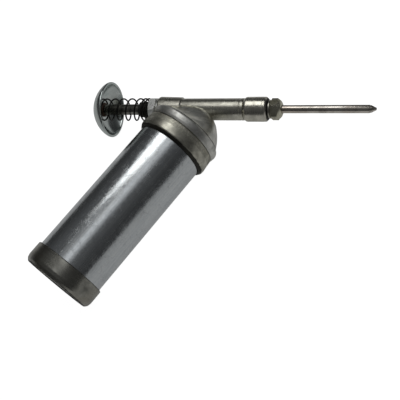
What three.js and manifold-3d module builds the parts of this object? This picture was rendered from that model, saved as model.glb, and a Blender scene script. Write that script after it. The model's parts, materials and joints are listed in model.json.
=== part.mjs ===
// Push-type grease gun with a palm knob: a plunger pump barrel with a nozzle,
// brazed across a domed head that carries a spring-fed grease canister.
// Millimetres, +Z up. The gun lies on its side: the pump barrel runs along X
// (nozzle to +X) and the canister leaves it at 62 degrees in the XY plane.
import * as THREE from 'three';
import { mergeVertices } from 'three/addons/utils/BufferGeometryUtils.js';
import Module from 'manifold-3d';

const wasm = await Module();
wasm.setup();

// ---------------------------------------------------------------- dimensions
// Crossing point of the pump axis and the canister axis in the part's frame.
const CROSS_X = -11.567;
const CROSS_Y = 66.777;
const CROSS_Z = 27.7;
const CANISTER_ANGLE = 62;        // degrees between pump barrel and canister

const GAP = 0.3;                  // clearance between neighbouring pieces
const SEG_BIG = 36;               // facets round the canister parts
const SEG = 24;                   // facets round the pump parts
const SEG_SMALL = 16;             // facets round small inner parts

// pump axis: distances are along the barrel from the crossing point
const STROKE = 20;                // plunger travel
const KNOB_R = 20.75;             // palm knob outer radius
const KNOB_RIM = -73.9;           // plane of the knob's rolled rim
const KNOB_TOP = -87.4;           // crown of the knob
const KNOB_T = 1.1;               // sheet thickness
const ROD_R = 4.0;
const ROD_FRONT = -6.5;           // front end of the plunger, inlet port open
const ROD_BACK = -84.6;
const BORE_R = 4.2;               // pump bore
const BOSS_R0 = 9.4;              // barrel boss at the gland
const BOSS_R1 = 8.86;             // barrel boss at its front step
const BOSS_BACK = -34.7;
const BOSS_FRONT = -16.6;
const BARREL_R = 7.9;
const BARREL_FRONT = 29.9;
const GLAND_AF = 16.4;            // gland nut across flats
const GLAND_HEX0 = -42.1;
const GLAND_HEX1 = -36.2;
const GLAND_TAIL = -51.0;
const GLAND_NECK_R = 7.5;
const SPRING_R = 7.975;           // return spring mean radius
const SPRING_WIRE = 1.2;
const SPRING_S0 = -82.5;           // first turn, inside the knob
const SPRING_TURNS = 7.66;         // one closed turn at the knob, two tight ones at the gland
const SPRING_TIGHT = 2.8;          // pitch of the tight turns
const SPRING_START = 0.2416;       // angle of the wire's end
const HOUSING_R = 8.8;            // check valve housing
const HOUSING_BACK = 30.2;
const HOUSING_FRONT = 47.0;
const NUT_AF = 13.6;              // nozzle nut across flats
const NUT_BACK = 49.5;
const NUT_HEX1 = 54.5;
const NUT_FRONT = 57.0;
const NOZZLE_R = 2.85;
const NOZZLE_FRONT = 116.7;
const TIP_FRONT = 121.0;
const BALL_R = 2.5;
const BALL_S = 41.6;

// canister axis: distances are from the crossing point towards the end cap
const TUBE_R = 25.0;
const TUBE_T = 0.8;
const TUBE_TOP = 37.8;
const TUBE_END = 158.2;
const FLANGE_R = 27.6;
const RING_R = 27.6;
const HEAD_SEAM = 28.1;           // lower face of the head's flange
const RING_TOP = 28.4;
const RING_END = 41.1;
const CAP_R = 26.4;
const CAP_TOP = 147.5;
const CAP_END = 162.0;
const FOLLOWER_S = 41.7;          // front plate of the follower, canister empty
const FOLLOWER_STROKE = 85;

// ----------------------------------------------------------------- materials
const mat = (color, roughness, metalness) =>
  new THREE.MeshStandardMaterial({ color, roughness, metalness });

// ------------------------------------------------------------------- helpers
// Welds a geometry's vertices, drops collapsed triangles, turns faces outward.
function weld(geometry) {
  const g = geometry.clone();
  g.deleteAttribute('normal');
  if (g.getAttribute('uv')) g.deleteAttribute('uv');
  const m = mergeVertices(g, 1e-4);
  const pos = m.getAttribute('position').array;
  const idx = [];
  for (let i = 0; i < m.index.count; i += 3) {
    const a = m.index.getX(i), b = m.index.getX(i + 1), c = m.index.getX(i + 2);
    if (a !== b && b !== c && c !== a) idx.push(a, b, c);
  }
  let vol = 0;
  for (let i = 0; i < idx.length; i += 3) {
    const [a, b, c] = [idx[i] * 3, idx[i + 1] * 3, idx[i + 2] * 3];
    vol += pos[a] * (pos[b + 1] * pos[c + 2] - pos[b + 2] * pos[c + 1])
         - pos[a + 1] * (pos[b] * pos[c + 2] - pos[b + 2] * pos[c])
         + pos[a + 2] * (pos[b] * pos[c + 1] - pos[b + 1] * pos[c]);
  }
  if (vol < 0) {
    for (let i = 0; i < idx.length; i += 3) [idx[i + 1], idx[i + 2]] = [idx[i + 2], idx[i + 1]];
  }
  const out = new THREE.BufferGeometry();
  out.setAttribute('position', new THREE.BufferAttribute(new Float32Array(pos), 3));
  out.setIndex(idx);
  return out;
}

const toSolid = (geometry) => {
  const g = weld(geometry);
  return new wasm.Manifold(new wasm.Mesh({
    numProp: 3,
    vertProperties: g.getAttribute('position').array,
    triVerts: new Uint32Array(g.index.array),
  }));
};

const fromSolid = (solid) => {
  const m = solid.getMesh();
  const g = new THREE.BufferGeometry();
  g.setAttribute('position', new THREE.BufferAttribute(new Float32Array(m.vertProperties), 3));
  g.setIndex(Array.from(m.triVerts));
  return g;
};

// Revolved section: [radius, distance] pairs, closed on itself or on the axis.
const turned = (pairs, segments = SEG) =>
  weld(new THREE.LatheGeometry(pairs.map(([r, s]) => new THREE.Vector2(r, s)), segments));

// Section of a ring or tube with the outer pairs given and a straight bore.
const bored = (outer, bore) => {
  const first = outer[0], last = outer[outer.length - 1];
  return [[bore, first[1]], ...outer, [bore, last[1]], [bore, first[1]]];
};

// Solid round bar of the given outline, closed on the axis.
const bar = (outer) => [[0, outer[0][1]], ...outer, [0, outer[outer.length - 1][1]]];

// Hexagonal prism along Y; flat is the direction of one flat's normal, in
// degrees from the local -X axis towards +Z.
function hexagon(af, s0, s1, flat) {
  const g = new THREE.CylinderGeometry(af / Math.sqrt(3), af / Math.sqrt(3), s1 - s0, 6);
  // a facet's normal of the plain cylinder stands 30 degrees from +Z towards +X
  const a = THREE.MathUtils.degToRad(flat);
  g.rotateY(-Math.PI / 6 - Math.PI / 2 + a);
  g.translate(0, (s0 + s1) / 2, 0);
  return g;
}

// Rounded sections stacked along Y: [distance, half length along X, half width
// along Z at the -X end, exponent of the rounded outline (2 is an ellipse),
// half width along Z at the +X end].
function lofted(sections, segments) {
  const pos = [], idx = [];
  const power = (v, n) => Math.sign(v) * Math.abs(v) ** (2 / n);
  for (const [s, a, b, n, b1 = b] of sections) {
    for (let i = 0; i < segments; i++) {
      const t = 2 * Math.PI * i / segments;
      const x = power(Math.cos(t), n);
      pos.push(a * x, s, (b * (1 - x) + b1 * (1 + x)) / 2 * power(Math.sin(t), n));
    }
  }
  const last = sections.length - 1;
  for (let k = 0; k < last; k++) {
    for (let i = 0; i < segments; i++) {
      const j = (i + 1) % segments;
      const [a, b, c, d] = [k * segments + i, k * segments + j, (k + 1) * segments + i, (k + 1) * segments + j];
      idx.push(a, b, d, a, d, c);
    }
  }
  const c0 = pos.length / 3;
  pos.push(0, sections[0][0], 0, 0, sections[last][0], 0);
  for (let i = 0; i < segments; i++) {
    const j = (i + 1) % segments;
    idx.push(c0, j, i, c0 + 1, last * segments + i, last * segments + j);
  }
  const g = new THREE.BufferGeometry();
  g.setAttribute('position', new THREE.BufferAttribute(new Float32Array(pos), 3));
  g.setIndex(idx);
  return g;
}

// Helix along Y with closed turns at both ends.
class Coil extends THREE.Curve {
  constructor(radius, s0, s1, turns, pitch0, pitch1, closed0, closed1, start) {
    super();
    Object.assign(this, { radius, s0, s1, turns, pitch0, pitch1, closed0, closed1, start });
  }
  getPoint(t, target = new THREE.Vector3()) {
    const n = this.turns * t;
    const [e0, e1, p0, p1] = [this.closed0, this.closed1, this.pitch0, this.pitch1];
    const len = this.s1 - this.s0;
    const pm = (len - p0 * e0 - p1 * e1) / (this.turns - e0 - e1);
    let s;
    if (n < e0) s = p0 * n;
    else if (n > this.turns - e1) s = len - p1 * (this.turns - n);
    else s = p0 * e0 + pm * (n - e0);
    const a = this.start + 2 * Math.PI * n;
    return target.set(this.radius * Math.cos(a), this.s0 + s, this.radius * Math.sin(a));
  }
}

function coil(radius, wire, s0, s1, turns, pitchEnd, perTurn, sides, closed0 = 1, closed1 = 1, start = 0,
  pitch1 = pitchEnd) {
  const section = new THREE.Shape();
  for (let i = 0; i < sides; i++) {
    const a = 2 * Math.PI * i / sides;
    const p = [wire / 2 * Math.cos(a), wire / 2 * Math.sin(a)];
    if (i === 0) section.moveTo(...p); else section.lineTo(...p);
  }
  section.closePath();
  return weld(new THREE.ExtrudeGeometry(section, {
    steps: Math.round(turns * perTurn),
    bevelEnabled: false,
    extrudePath: new Coil(radius, s0, s1, turns, pitchEnd, pitch1, closed0, closed1, start),
  }));
}

// -------------------------------------------------------------- scene groups
const greaseGun = new THREE.Group();
greaseGun.name = 'grease_gun';
greaseGun.position.set(CROSS_X, CROSS_Y, CROSS_Z);

const pump = new THREE.Group();           // local +Y runs along the pump axis, +X
pump.rotation.z = -Math.PI / 2;
const canister = new THREE.Group();       // local +Y runs along the canister axis
canister.rotation.z = THREE.MathUtils.degToRad(90 + CANISTER_ANGLE);
greaseGun.add(pump, canister);

const place = (group, name, geometry, material) => {
  const m = new THREE.Mesh(geometry, material);
  m.name = name;
  group.add(m);
  return m;
};

// Moves a geometry from the pump's frame to the canister's and back.
pump.updateMatrix();
canister.updateMatrix();
const pumpToCanister = canister.matrix.clone().invert().multiply(pump.matrix);
const canisterToPump = pumpToCanister.clone().invert();
const moved = (geometry, matrix) => geometry.clone().applyMatrix4(matrix);

// ---------------------------------------------------------------- palm knob
// Pressed sheet dome, hollow towards the gun, with a rolled rim.
const domeRadius = (q, r) => r * Math.sqrt(Math.max(0, 1 - Math.pow(q, 1.36)));
const knobOuter = [];
const knobInner = [];
const DOME_H = (KNOB_RIM - 1.0) - KNOB_TOP;
for (const q of [0, 0.1, 0.22, 0.36, 0.52, 0.68, 0.82, 0.92, 0.98]) {
  knobOuter.push([domeRadius(q, KNOB_R), KNOB_RIM - 1.0 - q * DOME_H]);
  knobInner.push([domeRadius(q, KNOB_R - KNOB_T), KNOB_RIM - 1.0 - q * (DOME_H - KNOB_T)]);
}
const rim = [];
for (let i = 1; i < 6; i++) {
  const a = Math.PI * i / 6;
  rim.push([KNOB_R - 0.9 + 0.95 * Math.cos(a), KNOB_RIM - 0.95 + 0.95 * Math.sin(a)]);
}
const KNOB_HOLE = 2.8;
const knobSection = [
  [KNOB_HOLE, KNOB_TOP + 0.12],
  ...knobOuter.slice().reverse(),
  ...rim,
  ...knobInner,
  [KNOB_HOLE, KNOB_TOP + KNOB_T + 0.12],
  [KNOB_HOLE, KNOB_TOP + 0.12],
];
place(pump, 'palm_knob', turned(knobSection, SEG_BIG), mat(0xc9cdcc, 0.16, 1.0));

// Round collar that clamps the knob against the rod's shoulder.
place(pump, 'knob_collar', turned(bored([
  [3.9, -85.5], [5.1, -84.9], [5.4, -84.3], [5.4, -80.6], [4.9, -79.9],
], ROD_R - 1.2 + GAP), SEG), mat(0x6d5647, 0.5, 0.8));

// ----------------------------------------------------------- plunger and rod
place(pump, 'plunger_rod', turned(bar([
  [3.2, -88.75], [4.3, -88.3], [4.5, -87.75], [2.5, -87.75], [2.5, -79.6],
  [ROD_R, -79.6], [ROD_R, ROD_FRONT - 0.6], [ROD_R - 0.5, ROD_FRONT],
]), SEG), mat(0x85857f, 0.32, 1.0));

// -------------------------------------------------------------- return spring
place(pump, 'return_spring', coil(SPRING_R, SPRING_WIRE, SPRING_S0, GLAND_HEX0 - GAP - SPRING_WIRE / 2,
  SPRING_TURNS, SPRING_WIRE + 0.1, 13, 6, 1, 2, SPRING_START, SPRING_TIGHT), mat(0x1d1c1b, 0.45, 0.8));

// ----------------------------------------------------------------- gland nut
{
  const turnedPart = toSolid(turned(bar([
    [5.2, GLAND_TAIL], [5.8, GLAND_TAIL + 0.6], [5.8, GLAND_HEX0 + 0.1],
    [8.2, GLAND_HEX0 + 0.1], [9.9, GLAND_HEX0 + 0.9], [9.9, GLAND_HEX1 - 0.6], [8.9, GLAND_HEX1],
    [GLAND_NECK_R, GLAND_HEX1], [GLAND_NECK_R, BOSS_BACK - GAP], [6.4, BOSS_BACK - GAP], [6.4, -27.3], [6.0, -27.0],
  ]), SEG));
  const limits = toSolid(hexagon(GLAND_AF, GLAND_TAIL - 2, -20, 96.4));
  const hole = toSolid(turned(bar([[BORE_R, GLAND_TAIL - 3], [BORE_R, -20]]), SEG));
  place(pump, 'gland_nut', fromSolid(turnedPart.intersect(limits).subtract(hole)),
    mat(0xb9bab5, 0.34, 1.0));
}
place(pump, 'gland_washer', turned(bored([[6.4, -26.7], [6.4, -25.5]], BORE_R), SEG_SMALL),
  mat(0x9b9a94, 0.4, 1.0));
place(pump, 'gland_packing', turned(bored([[6.4, -25.2], [6.4, -20.3]], BORE_R), SEG_SMALL),
  mat(0x2b2924, 0.9, 0.0));

// -------------------------------------------------------------- pump barrel
const PORT_R = 2.4;
{
  const outside = toSolid(turned(bar([
    [8.6, BOSS_BACK], [9.2, BOSS_BACK + 0.35], [BOSS_R0, BOSS_BACK + 1.0],
    [BOSS_R1, BOSS_FRONT - 0.4], [BOSS_R1 - 0.4, BOSS_FRONT], [BARREL_R, BOSS_FRONT + 0.1],
    [BARREL_R, 27.1], [BARREL_R - 0.25, 27.3], [BARREL_R - 0.25, 27.7], [BARREL_R, 27.9],
    [BARREL_R, BARREL_FRONT - 0.3], [BARREL_R - 0.3, BARREL_FRONT],
    [6.3, BARREL_FRONT], [6.3, 36.6], [5.9, 37.0],
  ]), SEG));
  const inside = toSolid(turned(bar([
    [6.7, BOSS_BACK - 1], [6.7, -20.0], [BORE_R, -20.0], [BORE_R, 15.5], [2.0, 17.5], [2.0, 38],
  ]), SEG));
  const port = toSolid(moved(turned(bar([[PORT_R, 1.0], [PORT_R, 12.0]]), SEG_SMALL), canisterToPump));
  place(pump, 'pump_barrel', fromSolid(outside.subtract(inside).subtract(port)),
    mat(0x74736d, 0.38, 0.9));
}

// ------------------------------------------------------- check valve, nozzle
place(pump, 'valve_housing', turned([
  [6.6, HOUSING_BACK], [HOUSING_R - 0.9, HOUSING_BACK], [HOUSING_R - 0.25, HOUSING_BACK + 0.6],
  [HOUSING_R, HOUSING_BACK + 1.4], [HOUSING_R, 44.6], [HOUSING_R - 0.35, 45.4],
  [HOUSING_R - 0.9, HOUSING_FRONT - 0.4], [HOUSING_R - 1.6, HOUSING_FRONT],
  [6.4, HOUSING_FRONT + 0.1], [6.4, NUT_BACK - GAP], [4.9, NUT_BACK - GAP], [4.9, 52.0], [4.5, 52.4],
  [1.6, 52.4], [1.6, 47.6], [3.7, 47.6], [3.7, 40.2], [6.6, 40.2], [6.6, HOUSING_BACK],
]), mat(0x7d7c76, 0.36, 0.95));

place(pump, 'valve_seat', turned([
  [1.6, 37.3], [6.3, 37.3], [6.3, 39.8], [2.1, 39.8], [1.6, 39.2], [1.6, 37.3],
], SEG_SMALL), mat(0xb08d4a, 0.35, 1.0));
place(pump, 'check_ball', (() => {
  const g = new THREE.SphereGeometry(BALL_R, 16, 10);
  g.translate(0, BALL_S, 0);
  return weld(g);
})(), mat(0xc8c8c8, 0.12, 1.0));
place(pump, 'check_spring', coil(2.3, 0.5, 43.3, 47.0, 4.5, 0.56, 10, 5), mat(0x8b8b88, 0.35, 1.0));

{
  const form = toSolid(turned(bar([
    [7.0, NUT_BACK], [8.4, NUT_BACK + 0.8], [8.4, NUT_HEX1 - 0.4], [6.7, NUT_HEX1 + 0.1],
    [6.0, NUT_HEX1 + 0.9], [5.0, NUT_FRONT - 0.5], [4.2, NUT_FRONT],
  ])));
  const limits = toSolid(hexagon(NUT_AF, NUT_BACK - 2, NUT_FRONT + 2, 77.4));
  const hole = toSolid(turned(bar([
    [5.2, NUT_BACK - 1], [5.2, 54.8], [NOZZLE_R + GAP, 54.8], [NOZZLE_R + GAP, NUT_FRONT + 1],
  ])));
  place(pump, 'nozzle_nut', fromSolid(form.intersect(limits).subtract(hole)),
    mat(0x8e8d80, 0.38, 0.95));
}
place(pump, 'nozzle_tube', turned([
  [1.4, 52.7], [4.8, 52.7], [4.8, 54.3], [NOZZLE_R, 54.5], [NOZZLE_R, NOZZLE_FRONT],
  [2.1, NOZZLE_FRONT], [2.1, 110.2], [1.4, 110.2], [1.4, 52.7],
], SEG_SMALL), mat(0x77746c, 0.34, 1.0));
place(pump, 'nozzle_tip', turned([
  [0.45, 110.5], [1.8, 110.5], [1.8, NOZZLE_FRONT + GAP], [2.75, NOZZLE_FRONT + GAP],
  [1.9, 118.9], [0.95, 120.7], [0.8, TIP_FRONT], [0.45, TIP_FRONT], [0.45, 110.5],
], SEG_SMALL), mat(0x8a8880, 0.3, 1.0));

// -------------------------------------------------------------- domed head
{
  const outside = toSolid(lofted([
    [3.7, 8.5, 6.2, 2.6, 5.9], [4.3, 10.8, 7.2, 2.8, 6.6], [5.1, 12.8, 7.9, 3.0, 7.0], [6.2, 14.6, 8.6, 3.0, 7.4],
    [8.0, 16.6, 9.8, 3.0, 8.0], [10.1, 18.6, 11.1, 2.9, 8.8], [12.2, 20.4, 12.9, 2.8, 9.5],
    [14.3, 22.0, 14.9, 2.6, 11.9], [16.6, 23.5, 17.4, 2.4, 16.0], [18.6, 24.7, 20.1, 2.2, 20.0],
    [20.1, 25.4, 22.9, 2.1, 22.9], [21.1, 25.8, 25.3, 2.0], [21.5, 26.1, 26.1, 2], [21.9, 26.8, 26.8, 2],
    [23.4, FLANGE_R - 0.2, FLANGE_R - 0.2, 2], [25.4, FLANGE_R, FLANGE_R, 2],
    [27.1, FLANGE_R - 0.15, FLANGE_R - 0.15, 2], [HEAD_SEAM, FLANGE_R - 0.7, FLANGE_R - 0.7, 2],
    [HEAD_SEAM, 25.7, 25.7, 2], [36.0, 25.7, 25.7, 2],
  ], SEG_BIG));
  const wall = toSolid(moved(turned(bar([[11.5, -60], [11.5, 60]]), SEG), pumpToCanister));
  const inside = toSolid(lofted([
    [10.5, 13.0, 6.0, 2.4, 4.5], [12.5, 16.2, 8.2, 2.4, 5.5], [15.0, 18.6, 11.6, 2.3, 9.4], [18.0, 20.6, 15.8, 2.2, 15.2],
    [21.5, 21.8, 20.3, 2.0], [24.0, 22.2, 22.2, 2], [37.0, 22.2, 22.2, 2],
  ], SEG_BIG)).subtract(wall);
  const saddle = toSolid(moved(turned(bar([
    [9.8, -60], [BOSS_R0 + GAP, BOSS_BACK - 5], [BOSS_R0 + GAP, BOSS_BACK + 1.0],
    [BOSS_R1 + GAP, BOSS_FRONT - 0.4], [BOSS_R1 + GAP, BOSS_FRONT + GAP],
    [BARREL_R + GAP, BOSS_FRONT + GAP + 0.1], [BARREL_R + GAP, 50],
  ]), SEG), pumpToCanister));
  const port = toSolid(turned(bar([[PORT_R, 1.0], [PORT_R, 14.0]]), SEG_SMALL));
  place(canister, 'canister_head', fromSolid(outside.subtract(inside).subtract(saddle).subtract(port)),
    mat(0x6f7068, 0.45, 0.85));
}

// ------------------------------------------------- screw ring, tube, end cap
place(canister, 'screw_ring', turned([
  [26.0, RING_TOP], [26.6, RING_TOP], [27.0, RING_TOP + 0.5], [27.05, 31.8], [27.2, 32.6],
  [27.6, 33.6], [RING_R + 0.1, 34.8], [RING_R + 0.1, 36.6], [27.3, 38.8], [26.5, 40.2], [25.8, RING_END],
  [25.3, RING_END], [25.3, 39.1], [26.0, 39.1], [26.0, RING_TOP],
], SEG_BIG), mat(0x6b6b62, 0.45, 0.9));
place(canister, 'head_gasket', turned(bored([[25.5, 36.3], [25.5, 37.5]], 22.4), SEG_BIG),
  mat(0x23211f, 0.85, 0.0));
place(canister, 'canister_tube', turned([
  [TUBE_R - TUBE_T, TUBE_TOP], [25.7, TUBE_TOP], [25.7, 38.7], [TUBE_R, 38.7], [TUBE_R, TUBE_END],
  [TUBE_R - TUBE_T, TUBE_END], [TUBE_R - TUBE_T, TUBE_TOP],
], SEG_BIG), mat(0xa9afb3, 0.14, 1.0));
place(canister, 'cap_gasket', turned(bored([[25.0, 158.5], [25.0, 159.3]], 22.6), SEG_BIG),
  mat(0x23211f, 0.85, 0.0));
place(canister, 'end_cap', turned([
  [0, 159.6], [25.3, 159.6], [25.3, CAP_TOP], [26.0, CAP_TOP], [CAP_R, CAP_TOP + 0.5],
  [CAP_R, 157.6], [26.1, 159.2], [25.5, 160.5], [24.6, 161.6], [24.0, CAP_END], [21.0, CAP_END],
  [20.5, CAP_END - 0.8], [0, CAP_END - 0.8],
], SEG_BIG), mat(0x68685f, 0.42, 0.9));

// ------------------------------------------------------------------ follower
const F = FOLLOWER_S;
place(canister, 'follower_front_plate', turned(bored([
  [21.2, F], [21.8, F + 0.4], [21.8, F + 1.4],
], 3.3), SEG_BIG), mat(0x9a9a96, 0.4, 1.0));
place(canister, 'follower_seal', turned([
  [3.3, F + 1.7], [22.1, F + 1.7], [22.6, F - 0.6], [23.1, F - 1.4], [23.8, F - 1.2],
  [23.8, F + 3.4], [23.3, F + 3.7], [3.3, F + 3.7], [3.3, F + 1.7],
], SEG_BIG), mat(0x1f1e1d, 0.75, 0.0));
place(canister, 'follower_back_plate', turned([
  [3.3, F + 4.0], [22.6, F + 4.0], [22.6, F + 7.2], [21.8, F + 7.2], [21.8, F + 5.2],
  [3.3, F + 5.2], [3.3, F + 4.0],
], SEG_BIG), mat(0x9a9a96, 0.4, 1.0));
place(canister, 'follower_rivet', turned(bar([
  [4.4, F - 1.6], [6.0, F - 0.9], [6.0, F - 0.3], [3.0, F - 0.3], [3.0, F + 5.5],
  [5.4, F + 5.5], [5.4, F + 6.3], [3.8, F + 7.0],
]), SEG_SMALL), mat(0x8f8f8b, 0.4, 1.0));
place(canister, 'follower_spring', coil(19.6, 1.8, F + 6.5, 159.6 - GAP - 0.9,
  10, 2.0, 12, 6), mat(0x6e6e6a, 0.4, 1.0));

export default greaseGun;
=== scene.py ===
# Grease gun lying on a pale table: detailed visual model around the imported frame.
import bpy, bmesh, math, json
import numpy as np
from mathutils import Vector, Matrix
from mathutils.noise import noise as vnoise, fractal as vfractal


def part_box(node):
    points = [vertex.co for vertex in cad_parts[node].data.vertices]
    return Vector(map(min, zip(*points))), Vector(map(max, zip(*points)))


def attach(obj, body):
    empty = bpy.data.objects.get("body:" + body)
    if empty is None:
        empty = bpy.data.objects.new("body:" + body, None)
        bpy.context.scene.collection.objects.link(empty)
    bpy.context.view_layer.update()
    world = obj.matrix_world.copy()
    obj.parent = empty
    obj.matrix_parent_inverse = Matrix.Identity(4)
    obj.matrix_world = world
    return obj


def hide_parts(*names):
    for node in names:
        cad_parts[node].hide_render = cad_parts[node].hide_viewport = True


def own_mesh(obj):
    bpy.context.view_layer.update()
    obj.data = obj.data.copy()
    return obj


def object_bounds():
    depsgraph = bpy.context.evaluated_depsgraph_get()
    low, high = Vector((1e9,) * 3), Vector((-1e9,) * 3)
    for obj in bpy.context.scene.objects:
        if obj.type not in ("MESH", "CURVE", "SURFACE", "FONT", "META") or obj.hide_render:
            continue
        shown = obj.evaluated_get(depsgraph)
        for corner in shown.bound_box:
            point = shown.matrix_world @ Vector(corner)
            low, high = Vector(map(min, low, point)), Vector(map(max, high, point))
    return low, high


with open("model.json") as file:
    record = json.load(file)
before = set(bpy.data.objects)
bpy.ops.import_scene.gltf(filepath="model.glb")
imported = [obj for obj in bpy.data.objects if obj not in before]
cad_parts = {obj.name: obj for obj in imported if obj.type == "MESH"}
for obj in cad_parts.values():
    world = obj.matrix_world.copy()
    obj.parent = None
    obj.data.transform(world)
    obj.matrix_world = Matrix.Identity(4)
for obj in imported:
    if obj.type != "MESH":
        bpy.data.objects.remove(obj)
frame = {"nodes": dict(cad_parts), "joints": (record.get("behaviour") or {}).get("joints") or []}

CAD_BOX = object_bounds()
MM = 0.001

# ------------------------------------------------------------------ the frame
_nt0, _nt1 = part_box("nozzle_tip")
_bb0, _bb1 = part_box("pump_barrel")
P0 = Vector((_nt1.x - 121.0 * MM, 0.5 * (_bb0.y + _bb1.y), 0.5 * (_bb0.z + _bb1.z)))
_joints = {j["name"]: j for j in frame["joints"]}
C_AX = Vector(_joints["follower_slide"]["axis"]).normalized()      # towards the end cap
X_AX = Vector((1, 0, 0))
E_AX = Vector((C_AX.y, -C_AX.x, 0)).normalized()                    # across the canister, in plane
Z_AX = Vector((0, 0, 1))

# local frames: columns are (axis, side, up); side x up = axis
PUMP = Matrix((X_AX, Vector((0, 1, 0)), Z_AX)).transposed()
CAN = Matrix((C_AX, Z_AX.cross(C_AX), Z_AX)).transposed()
AXES = {"pump": PUMP, "can": CAN}


def place(co, axis):
    return P0 + AXES[axis] @ (Vector(co) * MM)


# --------------------------------------------------------------------- meshes
def prof(items, seg=5):
    """Profile from (s, r[, fillet]) items, corners with a fillet are rounded."""
    pts = [Vector((i[0], i[1])) for i in items]
    rad = [i[2] if len(i) > 2 else 0.0 for i in items]
    out = []
    for k, p in enumerate(pts):
        if rad[k] <= 0 or k in (0, len(pts) - 1):
            out.append((p.x, p.y)); continue
        a, b = pts[k - 1] - p, pts[k + 1] - p
        la, lb = a.length, b.length
        if la < 1e-6 or lb < 1e-6:
            out.append((p.x, p.y)); continue
        a.normalize(); b.normalize()
        ang = math.acos(max(-1, min(1, a.dot(b))))
        if ang > math.pi - 0.02:
            out.append((p.x, p.y)); continue
        d = min(rad[k] / math.tan(ang / 2), 0.48 * la, 0.48 * lb)
        r = d * math.tan(ang / 2)
        bis = (a + b).normalized()
        cen = p + bis * (r / math.sin(ang / 2))
        s0, s1 = p + a * d - cen, p + b * d - cen
        a0, a1 = math.atan2(s0.y, s0.x), math.atan2(s1.y, s1.x)
        da = (a1 - a0 + math.pi) % (2 * math.pi) - math.pi
        n = max(2, int(seg * abs(da) / (math.pi / 2)) + 1)
        for j in range(n + 1):
            t = a0 + da * j / n
            out.append((cen.x + r * math.cos(t), cen.y + r * math.sin(t)))
    return out


def finish_mesh(me, sharp=35):
    bm = bmesh.new(); bm.from_mesh(me)
    bmesh.ops.recalc_face_normals(bm, faces=bm.faces)
    bm.to_mesh(me); bm.free()
    me.shade_smooth()
    me.set_sharp_from_angle(angle=math.radians(sharp))
    me.update()
    return me


def new_obj(name, me):
    o = bpy.data.objects.new(name, me)
    bpy.context.scene.collection.objects.link(o)
    return o


def lathe(name, pts, axis, n=112, closed=False, warp=None, sharp=35, start=0.0):
    """Turned piece: pts are (s, r) in mm along the axis."""
    bm = bmesh.new()
    rings = []
    for s, r in pts:
        if r < 1e-6:
            rings.append([bm.verts.new(place((s, 0, 0), axis))])
        else:
            ring = []
            for i in range(n):
                t = start + 2 * math.pi * i / n
                q = (s, r * math.cos(t), r * math.sin(t))
                if warp:
                    q = warp(q, s, r, t)
                ring.append(bm.verts.new(place(q, axis)))
            rings.append(ring)
    pairs = list(zip(rings[:-1], rings[1:]))
    if closed:
        pairs.append((rings[-1], rings[0]))
    for A, B in pairs:
        for i in range(n):
            j = (i + 1) % n
            if len(A) == 1 and len(B) == 1:
                continue
            if len(A) == 1:
                bm.faces.new((A[0], B[i], B[j]))
            elif len(B) == 1:
                bm.faces.new((A[i], B[0], A[j]))
            else:
                bm.faces.new((A[i], B[i], B[j], A[j]))
    me = bpy.data.meshes.new(name)
    bm.to_mesh(me); bm.free()
    return new_obj(name, finish_mesh(me, sharp))


def spline(rows, sub):
    """Catmull-Rom through rows of numbers, sub steps per span."""
    R = [np.array(r, float) for r in rows]
    out = []
    for k in range(len(R) - 1):
        a, b, c, d = R[max(0, k - 1)], R[k], R[k + 1], R[min(len(R) - 1, k + 2)]
        for j in range(sub):
            u = j / sub
            out.append(0.5 * (2 * b + (c - a) * u + (2 * a - 5 * b + 4 * c - d) * u * u + (3 * b - a - 3 * c + d) * u ** 3))
    out.append(R[-1])
    return out


def loft(name, rows, axis, n=160, sharp=35):
    """Rounded sections (s, half length in plane, half width on the nozzle side, exponent, half width on the gland side)."""
    bm = bmesh.new()
    rings = []
    for s, a, b, p, q in rows:
        ring = []
        for i in range(n):
            t = 2 * math.pi * i / n
            c, d = math.cos(t), math.sin(t)
            y = a * math.copysign(abs(c) ** (2 / p), c)
            z = (0.5 * (b + q) + 0.5 * (b - q) * y / a) * math.copysign(abs(d) ** (2 / p), d)
            ring.append(bm.verts.new(place((s, y, z), axis)))
        rings.append(ring)
    for A, B in zip(rings[:-1], rings[1:]):
        for i in range(n):
            j = (i + 1) % n
            bm.faces.new((A[i], B[i], B[j], A[j]))
    for ring, s in ((rings[0], rows[0][0]), (rings[-1], rows[-1][0])):
        c = bm.verts.new(place((s, 0, 0), axis))
        for i in range(n):
            bm.faces.new((ring[i], ring[(i + 1) % n], c))
    me = bpy.data.meshes.new(name)
    bm.to_mesh(me); bm.free()
    return new_obj(name, finish_mesh(me, sharp))


def bead(name, pts, radius, sides=10, wobble=0.18):
    """Uneven run of filler along a path of points (world metres)."""
    bm = bmesh.new()
    rings = []
    N = len(pts)
    for i, p in enumerate(pts):
        t = (pts[min(N - 1, i + 1)] - pts[max(0, i - 1)]).normalized()
        u = t.cross(Vector((0.31, 0.86, 0.41))).normalized()
        v = t.cross(u)
        ring = []
        for j in range(sides):
            a = 2 * math.pi * j / sides
            k = 1 + wobble * vnoise(p * 900 + Vector((0, 0, j * 0.7)))
            ring.append(bm.verts.new(p + (u * math.cos(a) + v * math.sin(a)) * radius * MM * k))
        rings.append(ring)
    for A, B in zip(rings[:-1], rings[1:]):
        for j in range(sides):
            m = (j + 1) % sides
            bm.faces.new((A[j], B[j], B[m], A[m]))
    bm.faces.new(rings[0]); bm.faces.new(rings[-1][::-1])
    me = bpy.data.meshes.new(name); bm.to_mesh(me); bm.free()
    return new_obj(name, finish_mesh(me, 60))


def weighted(o, weight=80):
    m = o.modifiers.new("wn", "WEIGHTED_NORMAL")
    m.mode = "FACE_AREA"; m.weight = weight; m.keep_sharp = True
    return o


def apply_mods(o):
    dg = bpy.context.evaluated_depsgraph_get()
    me = bpy.data.meshes.new_from_object(o.evaluated_get(dg))
    old = o.data
    o.modifiers.clear()
    o.data = me
    me.name = o.name
    bpy.data.meshes.remove(old)
    return o


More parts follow.
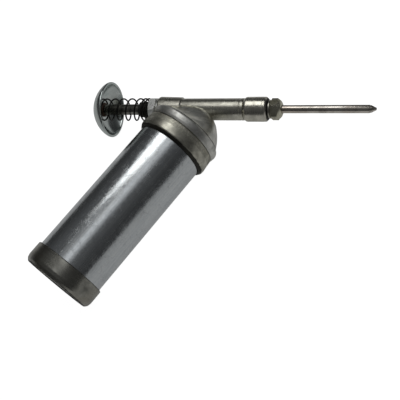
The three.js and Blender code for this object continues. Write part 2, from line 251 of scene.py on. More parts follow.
def hexagon(name, af, s0, s1, flat_deg, axis="pump"):
    """Hexagonal prism; flat_deg is one flat's normal, from side towards up."""
    bm = bmesh.new()
    R = af / math.sqrt(3)
    ends = []
    for s in (s0, s1):
        ends.append([bm.verts.new(place((s, R * math.cos(math.radians(flat_deg + 30 + 60 * k)),
                                         R * math.sin(math.radians(flat_deg + 30 + 60 * k))), axis)) for k in range(6)])
    for k in range(6):
        j = (k + 1) % 6
        bm.faces.new((ends[0][k], ends[0][j], ends[1][j], ends[1][k]))
    bm.faces.new(ends[0][::-1]); bm.faces.new(ends[1])
    bmesh.ops.recalc_face_normals(bm, faces=bm.faces)
    me = bpy.data.meshes.new(name); bm.to_mesh(me); bm.free()
    return new_obj(name, me)


def boolean(o, other, op):
    m = o.modifiers.new("b", "BOOLEAN")
    m.operation = op; m.solver = "EXACT"; m.object = other
    apply_mods(o)
    bpy.data.objects.remove(other)
    return o


def bevel(o, width, seg=2, angle=28):
    m = o.modifiers.new("bev", "BEVEL")
    m.width = width * MM; m.segments = seg; m.limit_method = "ANGLE"; m.angle_limit = math.radians(angle)
    m.harden_normals = False
    apply_mods(o)
    return o


def coil(name, axis, radius, wire, s0, s1, turns, end_pitch, per_turn=40, sides=12, phase=0.0, closed=(1.0, 1.0), last_pitch=None, hand=1):
    """Helical spring with closed turns at each end, as a mesh tube."""
    N = int(turns * per_turn)
    e0, e1 = closed
    last = end_pitch if last_pitch is None else last_pitch
    pm = ((s1 - s0) - end_pitch * e0 - last * e1) / (turns - e0 - e1)

    def at(n):
        if n < e0: s = end_pitch * n
        elif n > turns - e1: s = (s1 - s0) - last * (turns - n)
        else: s = end_pitch * e0 + pm * (n - e0)
        a = phase + hand * 2 * math.pi * n
        return np.array((s0 + s, radius * math.cos(a), radius * math.sin(a)))

    # smooth the pitch change
    P = np.array([at(turns * i / N) for i in range(N + 1)])
    k = max(1, per_turn // 5)
    S = P[:, 0].copy()
    for i in range(len(S)):
        lo, hi = max(0, i - k), min(len(S), i + k + 1)
        w = min(i - lo, hi - 1 - i)
        P[i, 0] = S[i - w:i + w + 1].mean() if w else S[i]
    bm = bmesh.new()
    rings = []
    for i in range(N + 1):
        t = P[min(N, i + 1)] - P[max(0, i - 1)]; t /= np.linalg.norm(t)
        rad = np.array((0, P[i, 1], P[i, 2])); rad /= np.linalg.norm(rad)
        up = np.cross(t, rad); up /= np.linalg.norm(up)
        out = np.cross(up, t)
        ring = []
        for j in range(sides):
            b = 2 * math.pi * j / sides
            q = P[i] + (out * math.cos(b) + up * math.sin(b)) * wire / 2
            ring.append(bm.verts.new(place(q, axis)))
        rings.append(ring)
    for A, B in zip(rings[:-1], rings[1:]):
        for j in range(sides):
            m = (j + 1) % sides
            bm.faces.new((A[j], B[j], B[m], A[m]))
    bm.faces.new(rings[0]); bm.faces.new(rings[-1][::-1])
    me = bpy.data.meshes.new(name); bm.to_mesh(me); bm.free()
    return new_obj(name, finish_mesh(me, 50))


# ------------------------------------------------------------------ materials
def lin(h):
    """Linear colour from an sRGB hex string."""
    v = [int(h[i:i + 2], 16) / 255 for i in (0, 2, 4)]
    return tuple(x / 12.92 if x <= 0.04045 else ((x + 0.055) / 1.055) ** 2.4 for x in v) + (1.0,)


class Mat:
    def __init__(self, name):
        self.m = bpy.data.materials.new(name)
        self.m.use_nodes = True
        self.t = self.m.node_tree
        self.t.nodes.clear()
        self.out = self.t.nodes.new("ShaderNodeOutputMaterial")
        self.b = self.t.nodes.new("ShaderNodeBsdfPrincipled")
        self.t.links.new(self.b.outputs[0], self.out.inputs["Surface"])
        self.tc = self.t.nodes.new("ShaderNodeTexCoord")

    def node(self, kind, **kw):
        n = self.t.nodes.new("ShaderNode" + kind)
        for k, v in kw.items():
            setattr(n, k, v)
        return n

    def link(self, a, b):
        self.t.links.new(a, b)

    def coords(self, axis, scale):
        """Object coordinates turned so that the part's axis is X, then scaled (per metre)."""
        n = self.node("Mapping", vector_type="TEXTURE")
        n.inputs["Location"].default_value = P0
        n.inputs["Rotation"].default_value = AXES[axis].to_euler()
        self.link(self.tc.outputs["Object"], n.inputs["Vector"])
        k = self.node("VectorMath", operation="MULTIPLY")
        k.inputs[1].default_value = scale
        self.link(n.outputs[0], k.inputs[0])
        return k.outputs[0]

    def turned(self, axis, ks, kr):
        """(s*ks, r*kr, 0): constant round the axis, for turning marks."""
        v = self.coords(axis, (1, 1, 1))
        sep = self.node("SeparateXYZ"); self.link(v, sep.inputs[0])
        yy = self.node("Math", operation="MULTIPLY"); self.link(sep.outputs[1], yy.inputs[0]); self.link(sep.outputs[1], yy.inputs[1])
        zz = self.node("Math", operation="MULTIPLY_ADD"); self.link(sep.outputs[2], zz.inputs[0]); self.link(sep.outputs[2], zz.inputs[1]); self.link(yy.outputs[0], zz.inputs[2])
        r = self.node("Math", operation="SQRT"); self.link(zz.outputs[0], r.inputs[0])
        a = self.node("Math", operation="MULTIPLY"); self.link(sep.outputs[0], a.inputs[0]); a.inputs[1].default_value = ks
        c = self.node("Math", operation="MULTIPLY"); self.link(r.outputs[0], c.inputs[0]); c.inputs[1].default_value = kr
        cb = self.node("CombineXYZ"); self.link(a.outputs[0], cb.inputs[0]); self.link(c.outputs[0], cb.inputs[1])
        return cb.outputs[0]

    def noise(self, vec, scale=1.0, detail=4.0, rough=0.55, dist=0.0):
        n = self.node("TexNoise")
        n.inputs["Scale"].default_value = scale
        n.inputs["Detail"].default_value = detail
        n.inputs["Roughness"].default_value = rough
        n.inputs["Distortion"].default_value = dist
        self.link(vec, n.inputs["Vector"])
        return n.outputs[0]

    def ramp(self, fac, stops, interp="LINEAR"):
        n = self.node("ValToRGB")
        n.color_ramp.interpolation = interp
        e = n.color_ramp.elements
        while len(e) < len(stops):
            e.new(0.5)
        for k, (p, c) in enumerate(stops):
            e[k].position = p
            e[k].color = c if hasattr(c, "__len__") else (c, c, c, 1)
        self.link(fac, n.inputs[0])
        return n.outputs[0]

    def range(self, v, a, b, c, d):
        n = self.node("MapRange"); n.clamp = True
        for k, x in zip(("From Min", "From Max", "To Min", "To Max"), (a, b, c, d)):
            n.inputs[k].default_value = x
        self.link(v, n.inputs["Value"])
        return n.outputs[0]

    def mix(self, fac, a, b, blend="MIX"):
        n = self.node("Mix", data_type="RGBA", blend_type=blend)
        n.clamp_result = False
        if hasattr(fac, "is_output"): self.link(fac, n.inputs[0])
        else: n.inputs[0].default_value = fac
        for v, k in ((a, 6), (b, 7)):
            if hasattr(v, "is_output"): self.link(v, n.inputs[k])
            else: n.inputs[k].default_value = v
        return n.outputs[2]

    def math(self, op, a, b):
        n = self.node("Math", operation=op)
        for k, v in enumerate((a, b)):
            if hasattr(v, "is_output"): self.link(v, n.inputs[k])
            else: n.inputs[k].default_value = v
        return n.outputs[0]

    def bump(self, height, dist_mm, strength=1.0, prev=None):
        n = self.node("Bump")
        n.inputs["Strength"].default_value = strength
        n.inputs["Distance"].default_value = dist_mm * MM
        self.link(height, n.inputs["Height"])
        if prev is not None:
            self.link(prev, n.inputs["Normal"])
        return n.outputs[0]

    def set(self, color=None, rough=None, normal=None, metallic=1.0, spec=None, coat=None):
        b = self.b
        b.inputs["Metallic"].default_value = metallic
        if color is not None:
            if hasattr(color, "is_output"): self.link(color, b.inputs["Base Color"])
            else: b.inputs["Base Color"].default_value = color
        if rough is not None:
            if hasattr(rough, "is_output"): self.link(rough, b.inputs["Roughness"])
            else: b.inputs["Roughness"].default_value = rough
        if normal is not None:
            self.link(normal, b.inputs["Normal"])
        if spec is not None:
            b.inputs["Specular IOR Level"].default_value = spec
        if coat is not None:
            b.inputs["Coat Weight"].default_value = coat[0]; b.inputs["Coat Roughness"].default_value = coat[1]
        return self.m


def satin_metal(name, axis, base, dark, light, rough=(0.28, 0.46), turn=0.006, cast=0.0, streak=0.0, cast_scale=900, patch=60, tint=None, painted_shade=(), dull=None, weld=0.0):
    """Machined or cast metal: patchy tone, turning marks, fine casting grain, tiny pits, and near-black bands of
    painted shade.
    """
    m = Mat(name)
    c3 = m.coords(axis, (1, 1, 1))
    big = m.noise(c3, patch, 5, 0.6, 0.3)
    fine = m.noise(c3, 700, 3, 0.6)
    col = m.ramp(big, [(0.30, lin(dark)), (0.52, lin(base)), (0.74, lin(light))])
    if tint:
        t = m.noise(c3, patch * 0.6, 3, 0.5, 0.5)
        col = m.mix(m.range(t, 0.52, 0.72, 0.0, 0.65), col, lin(tint))
    sp = m.range(fine, 0.58, 0.74, 0.0, 0.55)
    col = m.mix(sp, col, lin(dark))
    rings = m.noise(m.turned(axis, 5200, 5200), 1.0, 3, 0.6)
    r0 = m.range(big, 0.3, 0.7, rough[1], rough[0])
    r1 = m.range(rings, 0.3, 0.7, -0.05, 0.07)
    ro = m.math("ADD", r0, r1)
    along = m.node("SeparateXYZ"); m.link(c3, along.inputs[0]); along = along.outputs[0]
    edge = m.noise(c3, 420, 4, 0.6)
    for lo, hi in painted_shade:                        # painted shade: near-black bands painted into grooves, joints, under lips and on faces turned away from the light
        wob = m.math("ADD", along, m.range(edge, 0.3, 0.7, -0.00025, 0.00025))
        k = m.math("MULTIPLY", m.range(wob, (lo - 0.4) * MM, lo * MM, 0.0, 1.0), m.range(wob, hi * MM, (hi + 0.4) * MM, 1.0, 0.0))
        col = m.mix(m.math("MULTIPLY", k, 0.9), col, lin("1c1b19"))
        ro = m.math("ADD", ro, m.math("MULTIPLY", k, 0.25))
    if dull:                                    # rough as-cast band
        k = m.math("MULTIPLY", m.range(along, dull[0] * MM, (dull[0] + 0.4) * MM, 0.0, 1.0), m.range(along, (dull[1] - 0.4) * MM, dull[1] * MM, 1.0, 0.0))
        ro = m.math("ADD", ro, m.math("MULTIPLY", k, 0.16))
    nrm = m.bump(rings, turn) if turn > 0 else None
    if dull:
        v = m.node("TexVoronoi"); v.inputs["Scale"].default_value = 950; m.link(c3, v.inputs["Vector"])
        d = m.math("MULTIPLY", v.outputs["Distance"], k)
        nrm = m.bump(d, 0.10, 0.8, nrm)
        col = m.mix(m.math("MULTIPLY", m.range(v.outputs["Distance"], 0.25, 0.6, 0.0, 0.5), k), col, lin(dark))
    if cast > 0:
        g = m.noise(c3, cast_scale, 5, 0.65)
        nrm = m.bump(g, cast, 1.0, nrm)
    if streak > 0:
        st = m.noise(m.coords(axis, (60, 2600, 2600)), 1.0, 4, 0.6)
        nrm = m.bump(st, streak, 1.0, nrm)
    return m.set(col, ro, nrm)


# polished canister tube: drawn along its length, scuffed, a little blue
def tube_material():
    m = Mat("tube_polished_steel")
    c3 = m.coords("can", (1, 1, 1))
    long = m.noise(m.coords("can", (22, 1500, 1500)), 1.0, 5, 0.62)
    wave = m.noise(m.coords("can", (9, 42, 42)), 1.0, 2, 0.5)
    scuff = m.noise(c3, 150, 6, 0.7, 1.2)
    mott = m.noise(c3, 620, 5, 0.72, 0.6)
    blot = m.noise(c3, 210, 5, 0.75, 1.5)
    speck = m.noise(c3, 1500, 2, 0.5)
    col = m.ramp(long, [(0.25, lin("bcc1c4")), (0.5, lin("cdd1d2")), (0.75, lin("d9dcdb"))])
    col = m.mix(m.range(scuff, 0.56, 0.72, 0.0, 0.5), col, lin("a3a6a6"))
    col = m.mix(m.range(speck, 0.66, 0.78, 0.0, 0.4), col, lin("84878a"))
    ro = m.math("ADD", m.range(scuff, 0.42, 0.72, 0.12, 0.30), m.range(long, 0.3, 0.7, -0.02, 0.05))
    ro = m.math("ADD", ro, m.range(blot, 0.50, 0.68, 0.0, 0.07))
    nrm = m.bump(wave, 0.10, 0.35)
    nrm = m.bump(long, 0.004, 1.0, nrm)
    nrm = m.bump(scuff, 0.006, 1.0, nrm)
    nrm = m.bump(mott, 0.034, 1.0, nrm)
    nrm = m.bump(blot, 0.055, 0.7, nrm)
    col = m.mix(m.range(mott, 0.55, 0.69, 0.0, 0.4), col, lin("979ea8"))
    col = m.mix(m.range(blot, 0.56, 0.68, 0.0, 0.2), col, lin("989ea6"))
    return m.set(col, ro, nrm)


def knob_material():
    m = Mat("knob_bright_plate")
    c3 = m.coords("pump", (1, 1, 1))
    cloud = m.noise(c3, 95, 5, 0.6, 0.8)
    rings = m.noise(m.turned("pump", 1400, 1400), 1.0, 4, 0.6)
    speck = m.noise(c3, 1300, 2, 0.5)
    col = m.ramp(cloud, [(0.28, lin("a9b4b1")), (0.5, lin("c6cdca")), (0.75, lin("dadedb"))])
    col = m.mix(m.range(speck, 0.64, 0.78, 0.0, 0.5), col, lin("7c807c"))
    ro = m.math("ADD", m.range(cloud, 0.35, 0.68, 0.10, 0.27), m.range(rings, 0.3, 0.7, -0.02, 0.04))
    nrm = m.bump(rings, 0.012)
    nrm = m.bump(m.noise(c3, 60, 2, 0.4), 0.12, 0.4, nrm)
    return m.set(col, ro, nrm)


def dark_material(name, base, light, rough=(0.35, 0.6), metallic=0.6, scale=500):
    m = Mat(name)
    c3 = m.coords("pump", (1, 1, 1))
    n = m.noise(c3, scale, 4, 0.6)
    w = m.noise(c3, scale * 4, 3, 0.6)
    col = m.ramp(n, [(0.3, lin(base)), (0.75, lin(light))])
    ro = m.range(n, 0.3, 0.7, rough[0], rough[1])
    return m.set(col, ro, m.bump(w, 0.012), metallic=metallic)


M = {}
M["tube"] = tube_material()
M["knob"] = knob_material()
# painted shade on the head: a dark band painted in the groove between dome and flange (21.0 to 21.6 mm)
M["head"] = satin_metal("head_cast_satin", "can", "d3d3cd", "9fa09b", "e8e6dd", rough=(0.30, 0.48), turn=0.0, cast=0.035, cast_scale=1100, patch=110, tint="bab5a3", painted_shade=((21.0, 21.6),))
M["braze"] = satin_metal("braze_filler", "can", "d0cebd", "97968a", "e6e3d0", rough=(0.28, 0.48), turn=0.0, cast=0.03, cast_scale=1800, patch=260)
# painted shade on the ring: its underside lip (39.3 to 42.0 mm) painted near-black as the shadow under the ring
M["ring"] = satin_metal("ring_satin", "can", "bdbbae", "8d8c81", "d8d6c6", rough=(0.27, 0.42), turn=0.006, cast=0.016, cast_scale=1300, patch=120, tint="a09a84", painted_shade=((39.3, 42.0),), dull=(28.8, 33.2))
# painted shade on the cap: a thin dark line painted at the lip where the tube enters, and the bottom face painted dark
# as the side turned away from the light
M["cap"] = satin_metal("cap_satin", "can", "9d9c94", "73736d", "b6b5ab", rough=(0.22, 0.36), turn=0.008, cast=0.008, patch=90, tint="858073", painted_shade=((147.3, 147.7), (161.7, 163.0)))
M["barrel"] = satin_metal("barrel_satin", "pump", "c4c2b6", "97968c", "dcdacc", rough=(0.22, 0.38), turn=0.006, cast=0.01, streak=0.005, patch=100)
# painted shade on the housing: a dark band painted in the neck groove before the nozzle nut
M["housing"] = satin_metal("housing_satin", "pump", "cfccbf", "a3a297", "e3e0d2", rough=(0.20, 0.34), turn=0.007, patch=100, painted_shade=((46.8, 47.5),))
# painted shade on the gland nut: the threaded stub darkened where it sits inside the spring's closed end
M["gland"] = satin_metal("gland_bright_zinc", "pump", "dfe0dc", "b4b6b2", "efefec", rough=(0.26, 0.42), turn=0.006, patch=140, painted_shade=((-51.2, -42.6),))
M["nut"] = satin_metal("nut_olive_zinc", "pump", "c8c5b2", "97947f", "dedbc8", rough=(0.24, 0.42), turn=0.005, patch=150)
M["nozzle"] = satin_metal("nozzle_drawn_steel", "pump", "d8d2c8", "a29b92", "ebe5db", rough=(0.12, 0.22), turn=0.002, streak=0.003, patch=90, tint="b5a596")
M["rod"] = satin_metal("rod_greased_steel", "pump", "8a8982", "5e5d57", "a2a199", rough=(0.2, 0.36), turn=0.006, patch=120)
M["collar"] = satin_metal("collar_brown_steel", "pump", "6d5a50", "45352c", "85726a", rough=(0.35, 0.6), turn=0.006, cast=0.02)
M["spring"] = dark_material("spring_black_wire", "1b1a19", "34322f", metallic=0.7)
M["rubber"] = dark_material("rubber_black", "141413", "23221f", rough=(0.55, 0.8), metallic=0.0, scale=300)
M["bare"] = satin_metal("bare_pressed_steel", "can", "9b9b97", "7b7b78", "b2b2ae", rough=(0.28, 0.45), turn=0.005)
M["brass"] = satin_metal("seat_turned_brass", "pump", "c19c57", "93733b", "d8b877", rough=(0.25, 0.4), turn=0.006)
M["ball"] = satin_metal("ball_polished_steel", "pump", "cfcfcf", "bdbdbd", "dcdcdc", rough=(0.08, 0.16), turn=0.0)


def piece(o, body, mat, node=None):
    o.data.materials.clear()
    o.data.materials.append(M[mat])
    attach(o, body)
    if node:
        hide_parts(node)
    return o


# --------------------------------------------------------------- palm knob
R_K, RIM, TOP, T_K = 20.75, -73.9, -87.4, 1.1
DH = (RIM - 1.0) - TOP
outer, inner = [], []
for k in range(0, 41):
    q = 0.985 * (1 - (1 - k / 40) ** 1.3)
    f = math.sqrt(max(0.0, 1 - q ** 1.36))
    outer.append((RIM - 1.0 - q * DH, R_K * f))
    inner.append((RIM - 1.0 - q * (DH - T_K), (R_K - T_K) * f))
rim = [(RIM - 0.95 + 0.95 * math.sin(math.pi * i / 16), R_K - 0.95 + 0.94 * math.cos(math.pi * i / 16)) for i in range(1, 16)]
loop = [(TOP + 0.12, 2.8)] + outer[::-1] + rim + inner + [(TOP + T_K + 0.12, 2.8)]


def knob_warp(q, s, r, t):
    # pressed sheet is never quite true: a slight wave round the rim
    k = (r / R_K) ** 2 * 0.16
    return (q[0] + k * math.sin(2 * t + 0.6) + 0.5 * k * math.sin(3 * t + 2.0) - 0.0, q[1], q[2])


o = lathe("knob_dome", loop, "pump", n=144, closed=True, warp=knob_warp)
piece(weighted(o), "plunger", "knob", "palm_knob")

o = lathe("knob_boss", prof([(-85.5, 3.1), (-85.5, 4.2, 0.3), (-84.7, 5.2, 0.4), (-80.7, 5.4, 0.5), (-79.9, 4.8, 0.3), (-79.9, 3.1)]), "pump", n=64, closed=True)
piece(weighted(o), "plunger", "collar", "knob_collar")

# plunger rod with its riveted end
rod = prof([(-88.75, 0), (-88.72, 2.2, 1.5), (-88.3, 4.2, 0.5), (-87.78, 4.45, 0.15), (-87.75, 2.5), (-79.6, 2.5), (-79.6, 4.0, 0.2),
            (-7.1, 4.0, 0.3), (-6.5, 3.5), (-6.5, 0)])
o = lathe("rod_turned", rod, "pump", n=64)
piece(weighted(o), "plunger", "rod", "plunger_rod")

# return spring
o = coil("return_coil", "pump", 7.975, 1.2, -82.5, -43.0, 7.66, 1.3, per_turn=48, sides=12, phase=2.9, closed=(1.0, 2.0), last_pitch=2.8, hand=-1)
piece(o, "gun_body", "spring", "return_spring")
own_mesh(o)

# ---------------------------------------------------------------- gland nut
thread = []
thread += [(-51.0, 0), (-51.0, 4.9), (-50.7, 5.25)]
s = -50.7
while s < -43.2:
    thread += [(s + 0.25, 5.3), (s + 0.42, 5.78), (s + 0.58, 5.78), (s + 0.75, 5.3)]
    s += 1.0
thread += [(-42.4, 5.2), (-42.1, 5.2)]
tail = lathe("gland_tail", thread + [(-42.1, 7.7), (-41.95, 8.05), (-41.2, 9.3), (-41.2, 10.4), (-37.2, 10.4), (-37.2, 9.35), (-36.6, 8.6), (-36.25, 8.05),
             (-36.2, 7.4), (-35.9, 7.2), (-35.3, 7.2), (-35.0, 7.35), (-35.0, 6.3), (-27.3, 6.3), (-27.0, 6.0), (-27.0, 0)], "pump", n=96)
hx = hexagon("hx", 16.4, -52.0, -20.0, 96.4)
boolean(tail, hx, "INTERSECT")
hole = lathe("hole", [(-52, 0), (-52, 4.2), (-20, 4.2), (-20, 0)], "pump", n=64)
boolean(tail, hole, "DIFFERENCE")
bevel(tail, 0.16, 2, 24)
finish_mesh(tail.data, 30)
piece(weighted(tail), "gun_body", "gland", "gland_nut")

# -------------------------------------------------------------- pump barrel
barrel = prof([(-34.7, 6.7), (-34.7, 8.5, 0.25), (-34.3, 9.2, 0.4), (-33.6, 9.4, 0.8), (-17.3, 8.87, 0.35), (-16.3, 7.95, 0.5),
               (26.9, 7.9, 0.2), (27.1, 7.6, 0.12), (27.5, 7.6, 0.12), (27.7, 7.9, 0.2), (29.6, 7.9, 0.3), (29.9, 7.5, 0.1), (29.9, 6.3), (36.6, 6.3, 0.2), (37.0, 5.9),
               (37.0, 2.0), (17.5, 2.0), (15.5, 4.2), (-20.0, 4.2), (-20.0, 6.7)])
o = lathe("barrel_turned", barrel, "pump", n=128, closed=True)
piece(weighted(o), "gun_body", "barrel", "pump_barrel")

# ------------------------------------------------- check valve housing, nozzle
hous = prof([(30.2, 6.6), (30.2, 7.7, 0.1), (30.35, 7.9, 0.2), (31.5, 8.72, 0.5), (32.2, 8.8, 0.5), (43.9, 8.8, 0.4), (44.25, 8.72, 0.1), (44.6, 8.72, 0.1), (45.0, 8.75, 0.2),
             (45.8, 8.7, 0.4), (46.9, 7.7, 0.4), (47.05, 7.2, 0.1), (47.1, 5.9, 0.1), (47.6, 5.9, 0.1), (47.75, 6.6, 0.35), (48.8, 6.6, 0.35), (48.95, 5.7, 0.1), (49.25, 5.6, 0.1),
             (49.25, 4.9), (52.0, 4.9), (52.4, 4.5), (52.4, 1.6), (47.6, 1.6), (47.6, 3.7), (40.2, 3.7), (40.2, 6.6)])
o = lathe("valve_sleeve", hous, "pump", n=112, closed=True)
piece(weighted(o), "gun_body", "housing", "valve_housing")

nut = lathe("nut_form", prof([(49.5, 0), (49.5, 6.7, 0.1), (50.0, 7.6, 0.3), (50.5, 8.4), (54.0, 8.4), (54.35, 7.5, 0.3), (54.9, 6.75, 0.6), (55.6, 6.35, 0.8), (56.4, 5.4, 0.8), (57.0, 4.2, 0.4), (57.0, 0)]), "pump", n=96)
boolean(nut, hexagon("hx", 13.6, 48.0, 59.0, 77.4), "INTERSECT")
hole = lathe("hole", [(48.0, 0), (48.0, 5.2), (54.8, 5.2), (54.8, 3.05), (58.5, 3.05), (58.5, 0)], "pump", n=64)
boolean(nut, hole, "DIFFERENCE")
bevel(nut, 0.14, 2, 24)
finish_mesh(nut.data, 30)
piece(weighted(nut), "gun_body", "nut", "nozzle_nut")

o = lathe("nozzle_pipe", prof([(52.7, 1.4), (52.7, 4.8, 0.1), (54.3, 4.8, 0.1), (54.5, 2.85), (116.5, 2.85, 0.1), (116.7, 2.7), (116.7, 2.1), (110.2, 2.1), (110.2, 1.4)]), "pump", n=64, closed=True)
piece(weighted(o), "gun_body", "nozzle", "nozzle_tube")
o = lathe("nozzle_point", prof([(110.5, 0.45), (110.5, 1.8), (116.95, 1.8), (116.95, 2.74, 0.1), (118.0, 2.35, 1.0), (120.6, 0.98, 0.3), (121.0, 0.78, 0.08), (121.0, 0.45)]), "pump", n=64, closed=True)
piece(weighted(o), "gun_body", "nozzle", "nozzle_tip")

# -------------------------------------------------------------- domed head
DOME = [(3.7, 0.4, 0.3, 2.2, 0.3), (3.72, 5.5, 4.0, 2.4, 4.0), (3.9, 8.6, 6.2, 2.6, 5.9), (4.3, 10.7, 7.2, 2.8, 6.6), (5.1, 12.8, 7.9, 3.0, 7.0), (6.2, 14.6, 8.6, 3.0, 7.4),
        (8.0, 16.6, 9.8, 3.0, 8.0), (10.1, 18.6, 11.1, 2.9, 8.8), (12.2, 20.4, 12.9, 2.8, 9.5), (14.3, 22.0, 14.9, 2.6, 11.9), (16.6, 23.5, 17.4, 2.4, 16.0),
        (18.6, 24.7, 20.1, 2.2, 20.0), (20.1, 25.4, 22.9, 2.1, 22.9), (21.0, 25.8, 25.2, 2.0, 25.2)]
dome = spline(DOME, 4)
RIMS = prof([(21.0, 25.8), (21.25, 25.8, 0.1), (21.5, 26.1, 0.1), (21.9, 27.0, 0.4), (22.8, 27.55, 0.9), (24.0, 27.65, 2.0), (26.4, 27.35, 4.0), (28.1, 26.8, 0.2), (28.1, 25.7)], 4)
rows = [tuple(r) for r in dome] + [(s, r, r, 2.0, r) for s, r in RIMS[1:]] + [(36.0, 25.7, 25.7, 2.0, 25.7)]
o = loft("head_dome", rows, "can", n=176)
hollow = loft("hollow", [tuple(r) for r in spline([(10.5, 13.0, 6.0, 2.4, 4.5), (12.5, 16.2, 8.2, 2.4, 5.5), (15.0, 18.6, 11.6, 2.3, 9.4), (18.0, 20.6, 15.8, 2.2, 15.2),
                                                (21.5, 21.8, 20.3, 2.0, 20.3), (24.0, 22.2, 22.2, 2.0, 22.2), (37.0, 22.2, 22.2, 2.0, 22.2)], 2)], "can", n=96)
boolean(hollow, lathe("wall", [(-60, 0), (-60, 11.5), (60, 11.5), (60, 0)], "pump", n=96), "DIFFERENCE")
boolean(o, hollow, "DIFFERENCE")
cut = lathe("cut", [(-70, 0), (-70, 9.65), (-34.0, 9.65), (-17.0, 9.1), (-16.3, 9.1), (-16.2, 8.15), (60, 8.15), (60, 0)], "pump", n=128)
boolean(o, cut, "DIFFERENCE")
port = lathe("port", [(1.0, 0), (1.0, 2.4), (14.0, 2.4), (14.0, 0)], "can", n=32)
boolean(o, port, "DIFFERENCE")
finish_mesh(o.data, 30)
piece(weighted(o), "gun_body", "head", "canister_head")

# brazing along the line where the head wraps the barrel
_rows = np.array(rows)


def head_field(q):
    """Below 1 inside the head's outer form; q in mm from the crossing point (world axes)."""
    s = q.dot(C_AX); y = q.dot(Z_AX.cross(C_AX)); z = q.z
    a, b, p, g = (np.interp(s, _rows[:, 0], _rows[:, k]) for k in (1, 2, 3, 4))
    if s < 3.7 or abs(y) >= a: return 9.0
    return (abs(y) / a) ** p + (abs(z) / (0.5 * (b + g) + 0.5 * (b - g) * y / a)) ** p


def seam(side):
    pts = []
    s = -33.4
    while s < 16.0:
        R = 9.4 + (s + 33.6) * (8.87 - 9.4) / 16.4 if s < -16.9 else (8.87 + (s + 16.9) * (7.9 - 8.87) / 0.6 if s < -16.3 else 7.9)
        hit = None
        for k in range(0, 361):
            th = math.pi * k / 360
            q = Vector((s, (R + 0.15) * math.cos(th), side * (R + 0.15) * math.sin(th)))
            if head_field(q) < 1:
                hit = q; break
        if hit is None or (s > 0 and th > math.pi * 0.985):
            break
        pts.append(P0 + hit * MM)
        s += 0.35
    return pts


_up, _down = seam(1), seam(-1)
if len(_up) > 3 and len(_down) > 3:
    path = _up + _down[::-1]
    for _ in range(2):
        path = [path[0]] + [(path[i - 1] + path[i] * 2 + path[i + 1]) / 4 for i in range(1, len(path) - 1)] + [path[-1]]
    o = bead("braze_bead", path, 0.75, 10, 0.3)
    piece(o, "gun_body", "braze")

# ------------------------------------------------- screw ring, tube, end cap
ring = prof([(28.4, 26.0), (28.4, 26.6, 0.15), (28.9, 27.0, 0.4), (33.0, 27.3, 2.0), (36.9, 27.7, 1.2), (38.6, 27.55, 1.4), (40.2, 26.5, 0.9), (41.1, 25.7, 0.15), (41.1, 25.3),
             (39.1, 25.3), (39.1, 26.0)])
o = lathe("ring_turned", ring, "can", n=176, closed=True)
piece(weighted(o), "gun_body", "ring", "screw_ring")

tube = prof([(37.8, 24.2), (37.8, 25.7, 0.2), (38.7, 25.7, 0.2), (38.8, 25.0, 0.1), (158.2, 25.0, 0.1), (158.2, 24.2)])
o = lathe("tube_drawn", tube, "can", n=192, closed=True)
piece(weighted(o), "gun_body", "tube", "canister_tube")

cap = prof([(159.6, 0), (159.6, 25.3), (147.5, 25.3), (147.5, 26.0, 0.2), (147.9, 26.4, 0.3), (157.6, 26.4, 2.0), (160.0, 25.8, 1.5), (161.4, 24.7, 0.5), (162.0, 23.9, 0.2), (162.0, 21.2, 0.2), (161.2, 20.5, 0.2), (161.2, 0)])
o = lathe("cap_turned", cap, "can", n=176)
piece(weighted(o), "gun_body", "cap", "end_cap")

# ---------------------------------------------------------- inside the canister
F = 41.7
o = coil("follower_coil", "can", 19.6, 1.8, F + 6.5, 158.4, 10, 2.0, per_turn=48, sides=12)
piece(o, "gun_body", "bare", "follower_spring")
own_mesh(o)
o = coil("check_coil", "pump", 2.3, 0.5, 43.3, 47.0, 4.5, 0.56, per_turn=32, sides=10)
piece(o, "gun_body", "bare", "check_spring")
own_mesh(o)

for node, mat in {"gland_washer": "bare", "gland_packing": "rubber", "valve_seat": "brass", "check_ball": "ball", "head_gasket": "rubber", "cap_gasket": "rubber",
                  "follower_front_plate": "bare", "follower_seal": "rubber", "follower_back_plate": "bare", "follower_rivet": "bare"}.items():
    ob = frame["nodes"][node]
    for k in range(max(1, len(ob.material_slots))):
        if len(ob.material_slots) == 0:
            ob.data.materials.append(M[mat])
        else:
            ob.material_slots[k].material = M[mat]

# ------------------------------------------------------------- floor and light
me = bpy.data.meshes.new("floor")
bm = bmesh.new()
bmesh.ops.create_grid(bm, x_segments=1, y_segments=1, size=6.0)
bm.to_mesh(me); bm.free()
floor = new_obj("floor", me)
floor.location = (0, 0, CAD_BOX[0][2] - 0.0002)
fm = Mat("floor_pale")
fm.set((0.5, 0.5, 0.5, 1), 0.6, metallic=0.0, spec=0.2)
fm.b.inputs["Emission Color"].default_value = (1, 1, 1, 1)
fl = fm.node("LightPath")
em = fm.node("Mix", data_type="FLOAT")
fm.link(fl.outputs["Is Camera Ray"], em.inputs[0])
em.inputs[2].default_value = 0.24
em.inputs[3].default_value = 0.96
fm.link(em.outputs[0], fm.b.inputs["Emission Strength"])
floor.data.materials.append(fm.m)

world = bpy.data.worlds.new("studio")
bpy.context.scene.world = world
world.use_nodes = True
wt = world.node_tree
wt.nodes.clear()
wo = wt.nodes.new("ShaderNodeOutputWorld")
bg = wt.nodes.new("ShaderNodeBackground")
wc = wt.nodes.new("ShaderNodeTexCoord")
sx = wt.nodes.new("ShaderNodeSeparateXYZ")
wt.links.new(wc.outputs["Generated"], sx.inputs[0])


def w_dot(v):
    d = wt.nodes.new("ShaderNodeVectorMath"); d.operation = "DOT_PRODUCT"
    wt.links.new(wc.outputs["Generated"], d.inputs[0]); d.inputs[1].default_value = v
    return d.outputs["Value"]


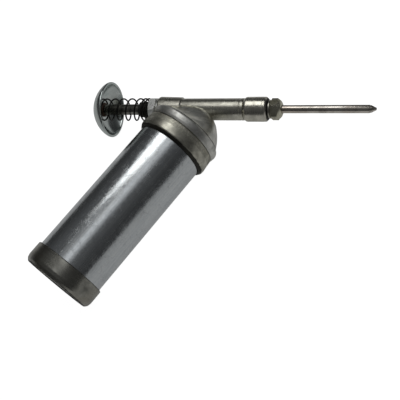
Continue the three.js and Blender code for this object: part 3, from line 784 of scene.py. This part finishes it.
def w_step(src, a, b, lo=0.0, hi=1.0):
    n = wt.nodes.new("ShaderNodeMapRange"); n.interpolation_type = "SMOOTHSTEP"; n.clamp = True
    for k, x in zip(("From Min", "From Max", "To Min", "To Max"), (a, b, lo, hi)):
        n.inputs[k].default_value = x
    wt.links.new(src, n.inputs["Value"])
    return n.outputs["Result"]


def w_math(op, a, b):
    n = wt.nodes.new("ShaderNodeMath"); n.operation = op
    for k, v in enumerate((a, b)):
        if hasattr(v, "is_output"): wt.links.new(v, n.inputs[k])
        else: n.inputs[k].default_value = v
    return n.outputs[0]


# dim room with one soft panel overhead
pp, qq, zz = w_dot((0.835, -0.55, 0)), w_dot((0.55, 0.835, 0)), sx.outputs[2]
above = w_step(zz, 0.25, 0.5)
PANEL = 0.48
panel = w_math("MULTIPLY", w_math("MULTIPLY", w_step(pp, -0.06, 0.12), w_step(pp, 0.26, 0.50, 1.0, 0.0)),
               w_math("MULTIPLY", w_step(qq, -0.45, 0.10, 0.0, 1.0), w_step(qq, 0.50, 0.75, 1.0, 0.0)))
panel = w_math("MULTIPLY", panel, PANEL)
room = w_step(zz, 0.3, 1.0, 0.045, 0.10)
sky = w_math("ADD", room, w_math("MULTIPLY", panel, above))
tone = wt.nodes.new("ShaderNodeCombineXYZ")
wt.links.new(w_math("MULTIPLY", sky, 0.985), tone.inputs[0]); wt.links.new(sky, tone.inputs[1]); wt.links.new(w_math("MULTIPLY", sky, 1.03), tone.inputs[2])
lp = wt.nodes.new("ShaderNodeLightPath")
mx = wt.nodes.new("ShaderNodeMix"); mx.data_type = "RGBA"
wt.links.new(lp.outputs["Is Camera Ray"], mx.inputs[0])
wt.links.new(tone.outputs[0], mx.inputs[6])
mx.inputs[7].default_value = (0.93, 0.93, 0.93, 1)
wt.links.new(mx.outputs[2], bg.inputs[0])
bg.inputs[1].default_value = 1.0
wt.links.new(bg.outputs[0], wo.inputs[0])


def area(name, direction, dist, size, power, color=(1, 1, 1), target=Vector((-0.02, 0.0, 0.03))):
    l = bpy.data.lights.new(name, "AREA")
    l.shape = "RECTANGLE"; l.size = size[0]; l.size_y = size[1]
    l.energy = power; l.color = color
    ob = bpy.data.objects.new(name, l)
    bpy.context.scene.collection.objects.link(ob)
    d = Vector(direction).normalized()
    ob.location = target + d * dist
    ob.rotation_euler = (-d).to_track_quat("-Z", "Y").to_euler()
    return ob


area("fill_top", (0.05, 0.10, 1.0), 1.6, (0.9, 0.9), 0.35)
key = bpy.data.lights.new("softbox", "AREA")
key.shape = "RECTANGLE"; key.size = 0.18; key.size_y = 0.31; key.energy = 0.34
ko = bpy.data.objects.new("softbox", key)
bpy.context.scene.collection.objects.link(ko)
ko.location = (-0.065, 0.238, 0.415)

# --------------------------------------------------------------------- camera
cam = bpy.data.cameras.new("camera")
cam.sensor_width = 36.0
cam.lens = 708.35 / 400 * 36.0
cam.clip_start = 0.01
co = bpy.data.objects.new("camera", cam)
bpy.context.scene.collection.objects.link(co)
right = Vector((0.94151, 0.19772, -0.27287)); up = Vector((-0.04031, 0.87004, 0.49135)); back = Vector((0.33455, -0.45161, 0.82712))
rot = Matrix((right, up, back)).transposed()
co.matrix_world = Matrix.Translation(P0 + Vector((170.4, -288.9, 392.3)) * MM) @ rot.to_4x4()
bpy.context.scene.camera = co

bpy.context.scene.view_settings.view_transform = "Standard"
bpy.context.scene.view_settings.look = "None"
bpy.context.scene.view_settings.exposure = 0.0
